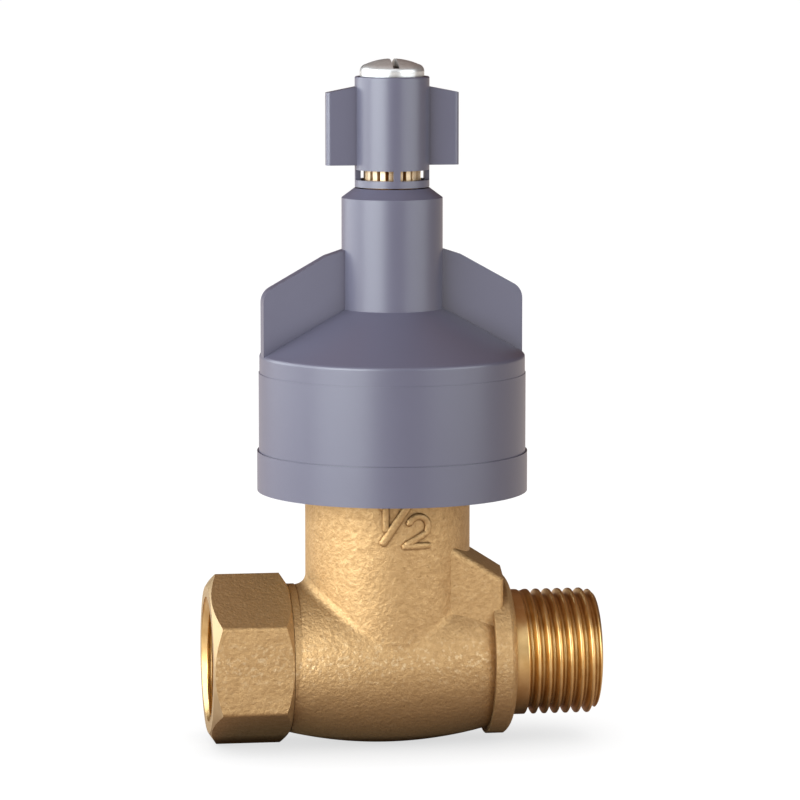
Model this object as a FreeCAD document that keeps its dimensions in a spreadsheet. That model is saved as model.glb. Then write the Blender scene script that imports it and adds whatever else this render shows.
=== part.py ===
import FreeCAD
import Part
import math
import os
import types

import Sketcher

# Concealed isolating valve for a half-inch water pipe.
# The frame has its origin at the middle of the inlet mouth, +X along the pipe run in the
# direction of flow, and +Z up the stem. Every piece is drawn about the point where the run
# and the stem cross, and is then placed at that point. The valve is drawn shut.

# Driving dimensions in millimetres, and angles in degrees, each in its own spreadsheet cell.
SIZES = {
    # Pipe run
    "stem_offset": 31.0,
    "outlet_reach": 34.0,
    "casting_shift": 0.8,
    "hex_across_flats": 25.0,
    "hex_length": 13.4,
    "hex_bevel_length": 1.5,
    "hex_face_radius": 12.2,
    "hex_edge_round": 0.8,
    "collar_radius": 12.3,
    "collar_length": 1.2,
    "belly_radius": 14.15,
    "belly_end_radius": 12.1,
    "belly_drop": 0.3,
    "flange_radius": 13.5,
    "flange_width": 2.7,
    "flange_shoulder_length": 1.15,
    "outlet_thread_radius": 10.4775,
    "outlet_bevel": 0.9,
    "outlet_shank": 2.95,
    "thread_pitch": 1.8143,
    "thread_flat": 0.302,
    "socket_thread_radius": 9.3155,
    "socket_depth": 13.0,
    "socket_mouth_bevel": 1.1,
    # Waterway and seat
    "inlet_bore_radius": 8.4,
    "inlet_bore_end": 7.4,
    "outlet_bore_radius": 7.3,
    "partition": 2.6,
    "seat_floor": 2.0,
    "seat_bore_radius": 5.8,
    "seat_lip_width": 1.2,
    "seat_lip_height": 1.2,
    "chamber_radius": 10.0,
    # Neck and outlet hump
    "neck_radius": 13.68,
    "neck_height": 38.0,
    "neck_blend": 1.8,
    "hump_half_width": 10.2,
    "hump_rise": 26.3,
    "hump_end_height": 14.7,
    "hump_reach": 18.2,
    "hump_draft_angle": 6.0,
    "hump_edge_round": 1.2,
    "hump_wall": 3.0,
    "passage_half_width": 5.6,
    # Bonnet and its gasket
    "bonnet_thread_radius": 10.4,
    "bonnet_thread_length": 11.0,
    "bonnet_skirt_radius": 9.7,
    "bonnet_skirt_length": 3.4,
    "bonnet_flange_radius": 12.9,
    "bonnet_flange_height": 2.0,
    "bonnet_hex_across_flats": 22.0,
    "bonnet_hex_height": 7.0,
    "bonnet_hex_bevel": 0.9,
    "bonnet_hex_face_radius": 10.7,
    "bonnet_shoulder_radius": 9.4,
    "bonnet_roof": 3.0,
    "bonnet_sleeve_radius": 6.5,
    "bonnet_sleeve_length": 20.5,
    "bonnet_sleeve_bevel": 0.5,
    "guide_setback": 0.76,
    "guide_height": 10.2,
    "gasket_thickness": 1.0,
    "gasket_width": 2.0,
    # Lifting piston, carried on the spindle thread, and its sealing disc
    "stroke": 6.0,
    "piston_head_radius": 8.6,
    "piston_head_height": 2.2,
    "piston_cup_depth": 1.8,
    "piston_barrel_radius": 7.0,
    "piston_hex_across_flats": 12.0,
    "piston_hex_length": 10.0,
    "piston_hole_floor": 5.3,
    "piston_seal_setback": 5.0,
    "disc_washer_radius": 7.4,
    "disc_washer_thickness": 3.4,
    "disc_plate_radius": 4.6,
    "disc_plate_thickness": 0.8,
    "disc_screw_radius": 2.0,
    "disc_screw_length": 8.4,
    "disc_screw_head_radius": 3.4,
    "disc_screw_head_height": 2.0,
    "disc_screw_slot_width": 0.9,
    "disc_screw_slot_depth": 1.0,
    # Spindle, its seals, washers and clip
    "spindle_thread_radius": 4.0,
    "spindle_collar_radius": 5.8,
    "spindle_collar_height": 1.6,
    "spindle_radius": 4.7,
    "spindle_top_bevel": 0.4,
    "spline_depth": 0.45,
    "thrust_washer_thickness": 0.5,
    "clip_washer_thickness": 0.6,
    "clip_thickness": 0.9,
    "clip_groove_depth": 0.5,
    "clip_width": 1.9,
    "clip_opening": 3.0,
    "seal_section_radius": 0.72,
    "stem_seal_setback": 4.2,
    "stem_seal_spacing": 4.4,
    # Protective shield
    "shield_wall": 1.8,
    "drum_radius": 22.1,
    "drum_drop": 24.9,
    "drum_height": 22.6,
    "drum_band_height": 3.0,
    "drum_band_step": 0.12,
    "drum_lip_step": 0.3,
    "drum_lip_height": 6.6,
    "cone_height": 7.6,
    "cone_wall_height": 2.2,
    "cone_edge_round": 0.7,
    "tube_radius": 8.35,
    "tube_top_radius": 6.2,
    "tube_bevel_height": 1.6,
    "tube_end_wall": 1.9,
    "tube_headroom": 1.24,
    "fin_height": 10.5,
    "fin_setback": 0.2,
    "fin_thickness": 2.6,
    "fin_corner_round": 2.8,
    "fin_shelf_length": 3.0,
    "fin_shelf_drop": 0.7,
    "shield_turn_angle": 5.0,
    # Wing knob and its screw
    "knob_radius": 6.15,
    "knob_ring_height": 1.15,
    "knob_ring_wall": 0.85,
    "knob_counterbore": 0.6,
    "knob_window_height": 1.65,
    "knob_rib_width": 1.1,
    "knob_length": 18.1,
    "knob_web": 2.6,
    "knob_recess_radius": 5.55,
    "knob_recess_depth": 1.7,
    "knob_rim_round": 0.25,
    "wing_half_span": 11.0,
    "wing_thickness": 2.4,
    "wing_foot": 3.55,
    "wing_height": 13.0,
    "wing_slope_drop": 1.1,
    "wing_edge_round": 0.7,
    "screw_thread_radius": 2.5,
    "screw_length": 12.0,
    "screw_head_radius": 5.3,
    "screw_head_height": 4.6,
    "screw_head_side": 2.3,
    "screw_shoulder_radius": 4.3,
    "screw_crown": 0.9,
    "screw_slot_width": 1.0,
    "screw_slot_depth": 1.5,
    # Clearances
    "thread_clearance": 0.06,
    "running_clearance": 0.06,
    "sliding_clearance": 0.1,
    "stop_clearance": 0.3,
    "seal_clearance": 0.04,
    "seal_groove_slack": 0.12,
    "spline_clearance": 0.12,
    "shield_clearance": 0.1,
    "spindle_hole_clearance": 0.5,
    "knob_clearance": 0.2,
    "seat_clearance": 0.05,
}
SPLINE_TEETH = 20
SPLINE_FLANK_SLOPE = 0.7
GROOVE_COUNT = 6
WINDOW_COUNT = 4
FIN_COUNT = 2
WING_COUNT = 2
SLOT_ARMS = 4
OVERCUT = 1.1
DOME_HALFWAY_RISE = 0.76
SQRT_2 = math.sqrt(2.0)
SQRT_3 = math.sqrt(3.0)


class Length:
    """A size that carries its number and the spreadsheet expression it comes from."""

    def __init__(self, text, value):
        self.text = text
        self.value = value

    @staticmethod
    def of(other):
        return other if isinstance(other, Length) else Length(repr(float(other)), float(other))

    def __add__(self, other):
        other = Length.of(other)
        return Length(f"({self.text} + {other.text})", self.value + other.value)

    def __sub__(self, other):
        other = Length.of(other)
        return Length(f"({self.text} - {other.text})", self.value - other.value)

    def __mul__(self, other):
        other = Length.of(other)
        return Length(f"({self.text} * {other.text})", self.value * other.value)

    def __truediv__(self, other):
        other = Length.of(other)
        return Length(f"({self.text} / {other.text})", self.value / other.value)

    def __neg__(self):
        return Length(f"(-1 * {self.text})", -self.value)


doc = FreeCAD.newDocument("isolating_valve")
sheet = doc.addObject("Spreadsheet::Sheet", "Sizes")
for row, (alias, number) in enumerate(SIZES.items(), start=1):
    sheet.set(f"A{row}", alias)
    sheet.set(f"B{row}", str(number))
    sheet.setAlias(f"B{row}", alias)
doc.recompute()
d = types.SimpleNamespace(**{name: Length(f"Sizes.{name}", value) for name, value in SIZES.items()})
ZERO = Length("0", 0.0)


# Heights up the stem, counted from the pipe's axis
seat_floor_z = d.inlet_bore_radius + d.seat_floor
seat_z = seat_floor_z + d.seat_lip_height
bonnet_thread_z = d.neck_height - d.bonnet_thread_length
bonnet_bottom_z = bonnet_thread_z - d.bonnet_skirt_length
bonnet_flange_z = d.neck_height + d.gasket_thickness
bonnet_hex_z = bonnet_flange_z + d.bonnet_flange_height
bonnet_hex_top_z = bonnet_hex_z + d.bonnet_hex_height
guide_z = d.neck_height - d.guide_setback
guide_top_z = guide_z + d.guide_height
collar_z = guide_top_z + d.stop_clearance
thrust_z = collar_z + d.spindle_collar_height
bearing_z = thrust_z + d.thrust_washer_thickness + d.running_clearance
shield_seat_z = bearing_z + d.bonnet_roof
bonnet_top_z = shield_seat_z + d.bonnet_sleeve_length
clip_washer_z = bonnet_top_z + d.running_clearance
clip_z = clip_washer_z + d.clip_washer_thickness
clip_top_z = clip_z + d.clip_thickness
drum_bottom_z = shield_seat_z - d.drum_drop
drum_top_z = drum_bottom_z + d.drum_height
cone_top_z = drum_top_z + d.cone_height
tube_end_z = clip_top_z + d.tube_headroom
tube_top_z = tube_end_z + d.tube_end_wall
knob_z = tube_top_z + d.knob_clearance
window_z = knob_z + d.knob_ring_height
window_top_z = window_z + d.knob_window_height
knob_top_z = knob_z + d.knob_length
screw_seat_z = knob_top_z - d.knob_recess_depth
spindle_top_z = screw_seat_z - d.knob_web
disc_z = seat_z + d.seat_clearance
piston_face_z = disc_z + d.disc_washer_thickness
piston_head_top_z = piston_face_z + d.piston_head_height
piston_hex_z = guide_z - d.stroke - d.stop_clearance
piston_top_z = piston_hex_z + d.piston_hex_length
piston_hole_z = piston_head_top_z + d.piston_hole_floor
spindle_bottom_z = piston_hole_z + d.stroke + d.stop_clearance

# Radii that two pieces share
spindle_bore = d.spindle_radius + d.running_clearance
skirt_bore = d.piston_barrel_radius + d.sliding_clearance
stem_seal_centre = spindle_bore - d.seal_clearance - d.seal_section_radius
piston_seal_centre = skirt_bore - d.seal_clearance - d.seal_section_radius
stem_seal_heights = (
    bearing_z + d.stem_seal_setback,
    bearing_z + d.stem_seal_setback + d.stem_seal_spacing,
)
piston_seal_z = bonnet_bottom_z + d.piston_seal_setback
seal_groove_half = d.seal_section_radius + d.seal_groove_slack


# Drawing helpers
def origin_feature(body, role):
    return next(f for f in body.Origin.OriginFeatures if f.Role == role)


def new_body(label, placed=True, turn=None):
    """A body drawn about the crossing of run and stem, placed there unless it is only a tool."""
    body = doc.addObject("PartDesign::Body", label)
    body.Label = label
    if placed:
        body.setExpression("Placement.Base.x", d.stem_offset.text)
    if turn is not None:
        body.Placement.Rotation = FreeCAD.Rotation(FreeCAD.Vector(0, 0, 1), turn.value)
        body.setExpression("Placement.Rotation.Angle", turn.text)
    return body


def fix_point(sketch, geometry, position, x, y):
    """Ties one point to its distances from the sketch's origin."""
    for kind, length in (("DistanceX", x), ("DistanceY", y)):
        index = sketch.addConstraint(Sketcher.Constraint(kind, -1, 1, geometry, position, length.value))
        if "Sizes" in length.text:
            sketch.setExpression(f"Constraints[{index}]", length.text)


def draw(sketch, corners):
    """Draws a closed outline. A corner is (x, y), or (x, y, via) where an arc through via leads to it."""
    first = sketch.GeometryCount
    count = len(corners)
    vectors = [FreeCAD.Vector(c[0].value, c[1].value, 0) for c in corners]
    targets = corners[1:] + corners[:1]
    starts = []
    for i, target in enumerate(targets):
        a, b = vectors[i], vectors[(i + 1) % count]
        clockwise = False
        if len(target) == 3:
            via = FreeCAD.Vector(target[2][0].value, target[2][1].value, 0)
            sketch.addGeometry(Part.Arc(a, via, b), False)
            clockwise = (via - a).cross(b - via).z < 0
        else:
            sketch.addGeometry(Part.LineSegment(a, b), False)
        starts.append(2 if clockwise else 1)
    for i in range(count):
        following = (i + 1) % count
        sketch.addConstraint(
            Sketcher.Constraint("Coincident", first + i, 3 - starts[i], first + following, starts[following])
        )
    for i, corner in enumerate(corners):
        fix_point(sketch, first + i, starts[i], corner[0], corner[1])
    for i, target in enumerate(targets):
        if len(target) == 3:
            via_x, via_y = target[2]
            point = sketch.addGeometry(Part.Point(FreeCAD.Vector(via_x.value, via_y.value, 0)), True)
            fix_point(sketch, point, 1, via_x, via_y)
            sketch.addConstraint(Sketcher.Constraint("PointOnObject", point, 1, first + i))


def draw_circle(sketch, x, y, radius):
    centre = FreeCAD.Vector(x.value, y.value, 0)
    circle = sketch.addGeometry(Part.Circle(centre, FreeCAD.Vector(0, 0, 1), radius.value), False)
    fix_point(sketch, circle, 3, x, y)
    index = sketch.addConstraint(Sketcher.Constraint("Radius", circle, radius.value))
    sketch.setExpression(f"Constraints[{index}]", radius.text)


def new_sketch(body, plane, offset=None, drop=None):
    """A sketch on a plane of the body's origin, offset along its normal or dropped along its own Y."""
    sketch = body.newObject("Sketcher::SketchObject", "sketch")
    sketch.AttachmentSupport = [(origin_feature(body, plane), "")]
    sketch.MapMode = "FlatFace"
    if offset is not None:
        sketch.setExpression("AttachmentOffset.Base.z", offset.text)
    if drop is not None:
        sketch.setExpression("AttachmentOffset.Base.y", (-drop).text)
    return sketch


def turned(body, corners, axis="V_Axis", kind="Revolution", drop=None):
    """Turns an outline in the XZ plane about the stem (V_Axis), the run (H_Axis) or a line below the run."""
    sketch = new_sketch(body, "XZ_Plane", drop=drop)
    draw(sketch, corners)
    feature = body.newObject(f"PartDesign::{kind}", kind.lower())
    feature.Profile = sketch
    feature.ReferenceAxis = (sketch, [axis])
    feature.Angle = 360.0
    doc.recompute()
    return feature


def turned_ring(label, centre_radius, centre_z, section_radius):
    """A ring of round section about the stem."""
    body = new_body(label)
    sketch = new_sketch(body, "XZ_Plane")
    draw_circle(sketch, centre_radius, centre_z, section_radius)
    feature = body.newObject("PartDesign::Revolution", "revolution")
    feature.Profile = sketch
    feature.ReferenceAxis = (sketch, ["V_Axis"])
    feature.Angle = 360.0
    return body


def extruded(body, sketch, length, kind="Pad", both_ways=False, reverse=False):
    feature = body.newObject(f"PartDesign::{kind}", kind.lower())
    feature.Profile = sketch
    feature.setExpression("Length", length.text)
    feature.Midplane = both_ways
    feature.Reversed = reverse
    doc.recompute()
    return feature


def polar_pattern(body, feature, count):
    pattern = body.newObject("PartDesign::PolarPattern", "pattern")
    pattern.Originals = [feature]
    pattern.Axis = (origin_feature(body, "Z_Axis"), [""])
    pattern.Angle = 360.0
    pattern.Occurrences = count
    body.Tip = pattern
    doc.recompute()
    return pattern


def rounded(body, size, chosen):
    """Rounds the edges of the body's tip that chosen accepts."""
    base = body.Tip
    names = [f"Edge{i}" for i, edge in enumerate(base.Shape.Edges, start=1) if chosen(edge)]
    feature = body.newObject("PartDesign::Fillet", "fillet")
    feature.Base = (base, names)
    feature.setExpression("Radius", size.text)
    doc.recompute()
    return feature


def hexagon(across_flats, corner_up):
    """Corners of a hexagon, with a corner or a flat towards the sketch's +Y."""
    half, corner = across_flats / 2.0, across_flats / SQRT_3
    upright = [(ZERO, corner), (-half, corner / 2.0), (-half, -corner / 2.0)]
    upright += [(ZERO, -corner), (half, -corner / 2.0), (half, corner / 2.0)]
    return upright if corner_up else [(y, x) for x, y in reversed(upright)]


def rectangle(left, right, low, high):
    return [(left, low), (right, low), (right, high), (left, high)]


def hex_bevel(body, across_flats, face_radius, face, bevel, axis):
    """Turns the corners of a hexagon down to a circle at its end face; bevel points into the hexagon."""
    corner = across_flats / SQRT_3
    outside = corner * OVERCUT
    edge = [(face_radius, face), (corner, face + bevel), (outside, face + bevel), (outside, face)]
    turned(body, edge if axis == "V_Axis" else [(along, across) for across, along in edge], axis, "Groove")


def near(value, target, tolerance=0.01):
    return abs(value - target) < tolerance


# Pipe run with its neck
def make_outlet_hump():
    """Drafted block over the passage that drops from the seat chamber to the outlet."""
    hump = new_body("outlet_hump", placed=False)
    sketch = new_sketch(hump, "XZ_Plane")
    outline = [(ZERO, ZERO), (d.hump_reach, ZERO), (d.hump_reach, d.hump_end_height), (ZERO, d.hump_rise)]
    draw(sketch, outline)
    pad = extruded(hump, sketch, d.hump_half_width * 2.0, both_ways=True)
    pad.setExpression("TaperAngle", (-d.hump_draft_angle).text)
    doc.recompute()

    def shows_outside(edge):
        side = near(abs(edge.CenterOfMass.y), d.hump_half_width.value)
        return side and edge.CenterOfMass.x > d.hump_reach.value * 0.3 and edge.CenterOfMass.z > 1.0

    rounded(hump, d.hump_edge_round, shows_outside)
    return hump


def cut_waterway(body):
    """Cuts the inlet socket and bore, the seat chamber under the bonnet, and the way out over the hump."""
    inlet = -d.stem_offset
    socket_end = inlet + d.socket_depth
    turned(
        body,
        [
            (inlet, ZERO),
            (inlet, d.socket_thread_radius + d.socket_mouth_bevel),
            (inlet + d.socket_mouth_bevel, d.socket_thread_radius),
            (socket_end, d.socket_thread_radius),
            (socket_end, d.inlet_bore_radius),
            (d.inlet_bore_end, d.inlet_bore_radius),
            (d.inlet_bore_end, ZERO),
        ],
        "H_Axis",
        "Groove",
    )
    outlet_start = d.inlet_bore_end + d.partition
    outlet_bore = rectangle(outlet_start, d.outlet_reach, ZERO, d.outlet_bore_radius)
    turned(body, outlet_bore, "H_Axis", "Groove")
    lip_radius = d.seat_bore_radius + d.seat_lip_width
    thread_bore = d.bonnet_thread_radius + d.thread_clearance
    turned(
        body,
        [
            (ZERO, ZERO),
            (d.seat_bore_radius, ZERO),
            (d.seat_bore_radius, seat_z),
            (lip_radius, seat_z),
            (lip_radius, seat_floor_z),
            (d.chamber_radius, seat_floor_z),
            (d.chamber_radius, bonnet_thread_z),
            (thread_bore, bonnet_thread_z),
            (thread_bore, d.neck_height),
            (ZERO, d.neck_height),
        ],
        "V_Axis",
        "Groove",
    )
    slope = (d.hump_rise - d.hump_end_height) / d.hump_reach
    ceiling = d.hump_rise - d.hump_wall
    passage_end = d.hump_reach - d.hump_wall
    passage_start = lip_radius
    passage_foot = d.outlet_bore_radius / 2.0
    passage = new_sketch(body, "XZ_Plane")
    draw(
        passage,
        [
            (passage_start, seat_floor_z),
            (d.inlet_bore_end + d.partition / 2.0, seat_floor_z),
            (outlet_start, d.outlet_bore_radius),
            (outlet_start, passage_foot),
            (passage_end, passage_foot),
            (passage_end, ceiling - slope * passage_end),
            (passage_start, ceiling - slope * passage_start),
        ],
    )
    extruded(body, passage, d.passage_half_width * 2.0, "Pocket", both_ways=True)


def cut_outlet_thread(body, start):
    """Pipe thread as a row of ring grooves with flat crests and roots. Start is the middle of the first."""
    root_half = d.thread_flat / 2.0
    crest_half = d.thread_pitch / 2.0 - root_half
    outside = d.outlet_thread_radius * OVERCUT
    groove = turned(
        body,
        [
            (start - root_half, d.socket_thread_radius),
            (start + root_half, d.socket_thread_radius),
            (start + crest_half, d.outlet_thread_radius),
            (start + crest_half, outside),
            (start - crest_half, outside),
            (start - crest_half, d.outlet_thread_radius),
        ],
        "H_Axis",
        "Groove",
    )
    pattern = body.newObject("PartDesign::LinearPattern", "pattern")
    pattern.Originals = [groove]
    pattern.Direction = (origin_feature(body, "X_Axis"), [""])
    pattern.setExpression("Length", (d.thread_pitch * (GROOVE_COUNT - 1)).text)
    pattern.Occurrences = GROOVE_COUNT
    body.Tip = pattern
    doc.recompute()


def make_valve_body():
    """Hot-pressed body: hexagon socket, bellied barrel, flange, outlet spigot, neck and outlet hump."""
    hump = make_outlet_hump()
    body = new_body("valve_body")
    inlet = -d.stem_offset
    hex_end = inlet + d.hex_length
    flange_start = d.hump_reach - d.flange_width
    shoulder_end = d.hump_reach + d.flange_shoulder_length
    shoulder_drop = d.flange_radius - d.outlet_thread_radius
    shoulder_middle = (
        d.hump_reach + d.flange_shoulder_length / SQRT_2,
        d.outlet_thread_radius + shoulder_drop / SQRT_2,
    )
    turned(
        body,
        [
            (hex_end, ZERO),
            (hex_end, d.belly_end_radius),
            (flange_start, d.belly_end_radius, (-d.casting_shift, d.belly_radius)),
            (flange_start, ZERO),
        ],
        "H_Axis",
        drop=d.belly_drop,
    )
    collar = rectangle(hex_end - d.hex_bevel_length, hex_end + d.collar_length, ZERO, d.collar_radius)
    turned(body, collar, "H_Axis")
    turned(
        body,
        [
            (flange_start, ZERO),
            (flange_start, d.flange_radius),
            (d.hump_reach, d.flange_radius),
            (shoulder_end, d.outlet_thread_radius, shoulder_middle),
            (d.outlet_reach - d.outlet_bevel, d.outlet_thread_radius),
            (d.outlet_reach, d.outlet_thread_radius - d.outlet_bevel),
            (d.outlet_reach, ZERO),
        ],
        "H_Axis",
    )
    neck_sketch = new_sketch(body, "XY_Plane")
    draw_circle(neck_sketch, -d.casting_shift, ZERO, d.neck_radius)
    extruded(body, neck_sketch, d.neck_height)
    neck_width = d.neck_radius.value * 2.0

    def neck_crease(edge):
        return near(edge.BoundBox.XLength, neck_width, 0.1) and edge.BoundBox.ZLength > 1.0

    rounded(body, d.neck_blend, neck_crease)

    hex_sketch = new_sketch(body, "YZ_Plane", inlet)
    draw(hex_sketch, hexagon(d.hex_across_flats, True))
    extruded(body, hex_sketch, d.hex_length)
    hex_corner = d.hex_across_flats.value / SQRT_3

    def hex_edge(edge):
        middle = edge.CenterOfMass
        return near(edge.Length, d.hex_length.value) and near(math.hypot(middle.y, middle.z), hex_corner)

    rounded(body, d.hex_edge_round, hex_edge)
    hex_bevel(body, d.hex_across_flats, d.hex_face_radius, inlet, d.hex_bevel_length, "H_Axis")
    hex_bevel(body, d.hex_across_flats, d.hex_face_radius, hex_end, -d.hex_bevel_length, "H_Axis")

    joined = body.newObject("PartDesign::Boolean", "join_hump")
    joined.setObjects([hump])
    joined.Type = "Fuse"
    doc.recompute()
    cut_waterway(body)
    cut_outlet_thread(body, shoulder_end + d.outlet_shank)
    return body


# Headwork
def make_bonnet():
    """Screwed bonnet: skirt bore for the piston, hexagon guide, collar chamber and long spindle sleeve."""
    body = new_body("bonnet")
    guide_radius = d.piston_hex_across_flats / 2.0 + d.sliding_clearance
    collar_bore = d.piston_hex_across_flats / SQRT_3 + d.stop_clearance
    sleeve_bevel_z = bonnet_top_z - d.bonnet_sleeve_bevel
    turned(
        body,
        [
            (skirt_bore, bonnet_bottom_z),
            (d.bonnet_skirt_radius, bonnet_bottom_z),
            (d.bonnet_skirt_radius, bonnet_thread_z),
            (d.bonnet_thread_radius, bonnet_thread_z),
            (d.bonnet_thread_radius, bonnet_flange_z),
            (d.bonnet_flange_radius, bonnet_flange_z),
            (d.bonnet_flange_radius, bonnet_hex_z),
            (d.bonnet_shoulder_radius, bonnet_hex_z),
            (d.bonnet_shoulder_radius, shield_seat_z),
            (d.bonnet_sleeve_radius, shield_seat_z),
            (d.bonnet_sleeve_radius, sleeve_bevel_z),
            (d.bonnet_sleeve_radius - d.bonnet_sleeve_bevel, bonnet_top_z),
            (spindle_bore, bonnet_top_z),
            (spindle_bore, bearing_z),
            (collar_bore, bearing_z),
            (collar_bore, guide_top_z),
            (guide_radius, guide_top_z),
            (guide_radius, guide_z),
            (skirt_bore, guide_z),
        ],
    )
    hex_sketch = new_sketch(body, "XY_Plane", bonnet_hex_z)
    draw(hex_sketch, hexagon(d.bonnet_hex_across_flats, False))
    draw_circle(hex_sketch, ZERO, ZERO, (d.bonnet_shoulder_radius + skirt_bore) / 2.0)
    extruded(body, hex_sketch, d.bonnet_hex_height)
    across, face_radius = d.bonnet_hex_across_flats, d.bonnet_hex_face_radius
    hex_bevel(body, across, face_radius, bonnet_hex_top_z, -d.bonnet_hex_bevel, "V_Axis")
    guide_sketch = new_sketch(body, "XY_Plane", guide_z)
    draw(guide_sketch, hexagon(guide_radius * 2.0, False))
    extruded(body, guide_sketch, d.guide_height, "Pocket", reverse=True)
    return body


def make_bonnet_gasket():
    body = new_body("bonnet_gasket")
    inner = d.bonnet_thread_radius + d.thread_clearance
    turned(body, rectangle(inner, inner + d.gasket_width, d.neck_height, bonnet_flange_z))
    return body


def make_spindle():
    """Spindle that turns without rising: drive thread, collar, seal grooves, clip groove and splined head."""
    body = new_body("spindle")
    bevel_radius = d.spindle_radius - d.spindle_top_bevel
    thread_end_radius = d.spindle_thread_radius - d.spindle_top_bevel
    turned(
        body,
        [
            (ZERO, spindle_bottom_z),
            (thread_end_radius, spindle_bottom_z),
            (d.spindle_thread_radius, spindle_bottom_z + d.spindle_top_bevel),
            (d.spindle_thread_radius, collar_z),
            (d.spindle_collar_radius, collar_z),
            (d.spindle_collar_radius, thrust_z),
            (d.spindle_radius, thrust_z),
            (d.spindle_radius, spindle_top_z - d.spindle_top_bevel),
            (bevel_radius, spindle_top_z),
            (ZERO, spindle_top_z),
        ],
    )
    outside = d.spindle_radius + d.spindle_top_bevel
    seal_floor = stem_seal_centre - d.seal_section_radius - d.seal_clearance
    for height in stem_seal_heights:
        groove = rectangle(seal_floor, outside, height - seal_groove_half, height + seal_groove_half)
        turned(body, groove, kind="Groove")
    clip_floor = d.spindle_radius - d.clip_groove_depth
    turned(body, rectangle(clip_floor, outside, clip_z, clip_top_z + d.seal_clearance), kind="Groove")
    hole_floor_z = screw_seat_z - d.screw_length - d.stop_clearance
    screw_hole = rectangle(ZERO, d.screw_thread_radius + d.thread_clearance, hole_floor_z, spindle_top_z)
    turned(body, screw_hole, kind="Groove")

    notch = new_sketch(body, "XY_Plane", window_z)
    draw(notch, spline_notch(d.spindle_radius - d.spline_depth, outside))
    notch_cut = extruded(body, notch, spindle_top_z - window_z, "Pocket", reverse=True)
    polar_pattern(body, notch_cut, SPLINE_TEETH)
    return body


def spline_notch(root, outside):
    """A V that opens outwards from its root radius."""
    half_width = (outside - root) * SPLINE_FLANK_SLOPE
    return [(root, ZERO), (outside, half_width), (outside, -half_width)]


def make_stem_seals():
    names = ("lower_stem_seal", "upper_stem_seal")
    return [
        turned_ring(name, stem_seal_centre, height, d.seal_section_radius)
        for name, height in zip(names, stem_seal_heights)
    ]


def make_thrust_washer():
    body = new_body("thrust_washer")
    inner = d.spindle_radius + d.running_clearance
    turned(body, rectangle(inner, d.spindle_collar_radius, thrust_z, thrust_z + d.thrust_washer_thickness))
    return body


def make_clip_washer():
    body = new_body("clip_washer")
    outer = d.spindle_radius - d.clip_groove_depth + d.clip_width
    turned(body, rectangle(d.spindle_radius + d.running_clearance, outer, clip_washer_z, clip_z))
    return body


def make_retaining_clip():
    """Open spring ring in the groove above the sleeve."""
    body = new_body("retaining_clip")
    inner = d.spindle_radius - d.clip_groove_depth + d.seal_clearance
    outer = inner + d.clip_width
    turned(body, rectangle(inner, outer, clip_z, clip_top_z))
    opening = new_sketch(body, "XY_Plane", clip_z)
    half = d.clip_opening / 2.0
    draw(opening, rectangle(-half, half, inner / 2.0, outer * OVERCUT))
    extruded(body, opening, d.clip_thickness, "Pocket", reverse=True)
    return body


# Piston and sealing disc
def make_lift_piston():
    """Piston that the spindle thread lifts: disc cup, sealed barrel, and a hexagon that can't turn."""
    body = new_body("lift_piston")
    cup_radius = d.disc_washer_radius + d.sliding_clearance
    rim_z = piston_face_z - d.piston_cup_depth
    screw_hole = d.disc_screw_radius + d.thread_clearance
    screw_hole_z = disc_z - d.disc_plate_thickness + d.disc_screw_length + d.stop_clearance
    thread_bore = d.spindle_thread_radius + d.thread_clearance
    seal_floor = piston_seal_centre - d.seal_section_radius - d.seal_clearance
    hex_inner = d.piston_hex_across_flats / 2.0
    turned(
        body,
        [
            (screw_hole, piston_face_z),
            (cup_radius, piston_face_z),
            (cup_radius, rim_z),
            (d.piston_head_radius, rim_z),
            (d.piston_head_radius, piston_head_top_z),
            (d.piston_barrel_radius, piston_head_top_z),
            (d.piston_barrel_radius, piston_seal_z - seal_groove_half),
            (seal_floor, piston_seal_z - seal_groove_half),
            (seal_floor, piston_seal_z + seal_groove_half),
            (d.piston_barrel_radius, piston_seal_z + seal_groove_half),
            (d.piston_barrel_radius, piston_hex_z),
            (hex_inner, piston_hex_z),
            (hex_inner, piston_top_z),
            (thread_bore, piston_top_z),
            (thread_bore, piston_hole_z),
            (ZERO, piston_hole_z),
            (ZERO, screw_hole_z),
            (screw_hole, screw_hole_z),
        ],
    )
    hex_sketch = new_sketch(body, "XY_Plane", piston_hex_z)
    draw(hex_sketch, hexagon(d.piston_hex_across_flats, False))
    draw_circle(hex_sketch, ZERO, ZERO, (hex_inner + thread_bore) / 2.0)
    extruded(body, hex_sketch, d.piston_hex_length)
    return body


def make_piston_seal():
    return turned_ring("piston_seal", piston_seal_centre, piston_seal_z, d.seal_section_radius)


def make_disc_washer():
    body = new_body("disc_washer")
    inner = d.disc_screw_radius + d.thread_clearance
    turned(body, rectangle(inner, d.disc_washer_radius, disc_z, piston_face_z))
    return body


def make_disc_plate():
    body = new_body("disc_plate")
    inner = d.disc_screw_radius + d.thread_clearance
    turned(body, rectangle(inner, d.disc_plate_radius, disc_z - d.disc_plate_thickness, disc_z))
    return body


def make_disc_screw():
    """Slotted screw that holds the disc washer, head down."""
    body = new_body("disc_screw")
    head_z = disc_z - d.disc_plate_thickness
    head_bottom_z = head_z - d.disc_screw_head_height
    turned(
        body,
        [
            (ZERO, head_bottom_z),
            (d.disc_screw_head_radius, head_bottom_z),
            (d.disc_screw_head_radius, head_z),
            (d.disc_screw_radius, head_z),
            (d.disc_screw_radius, head_z + d.disc_screw_length),
            (ZERO, head_z + d.disc_screw_length),
        ],
    )
    slot = new_sketch(body, "XY_Plane", head_bottom_z)
    half = d.disc_screw_slot_width / 2.0
    reach = d.disc_screw_head_radius * OVERCUT
    draw(slot, rectangle(-reach, reach, -half, half))
    extruded(body, slot, d.disc_screw_slot_depth, "Pocket", reverse=True)
    return body


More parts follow.
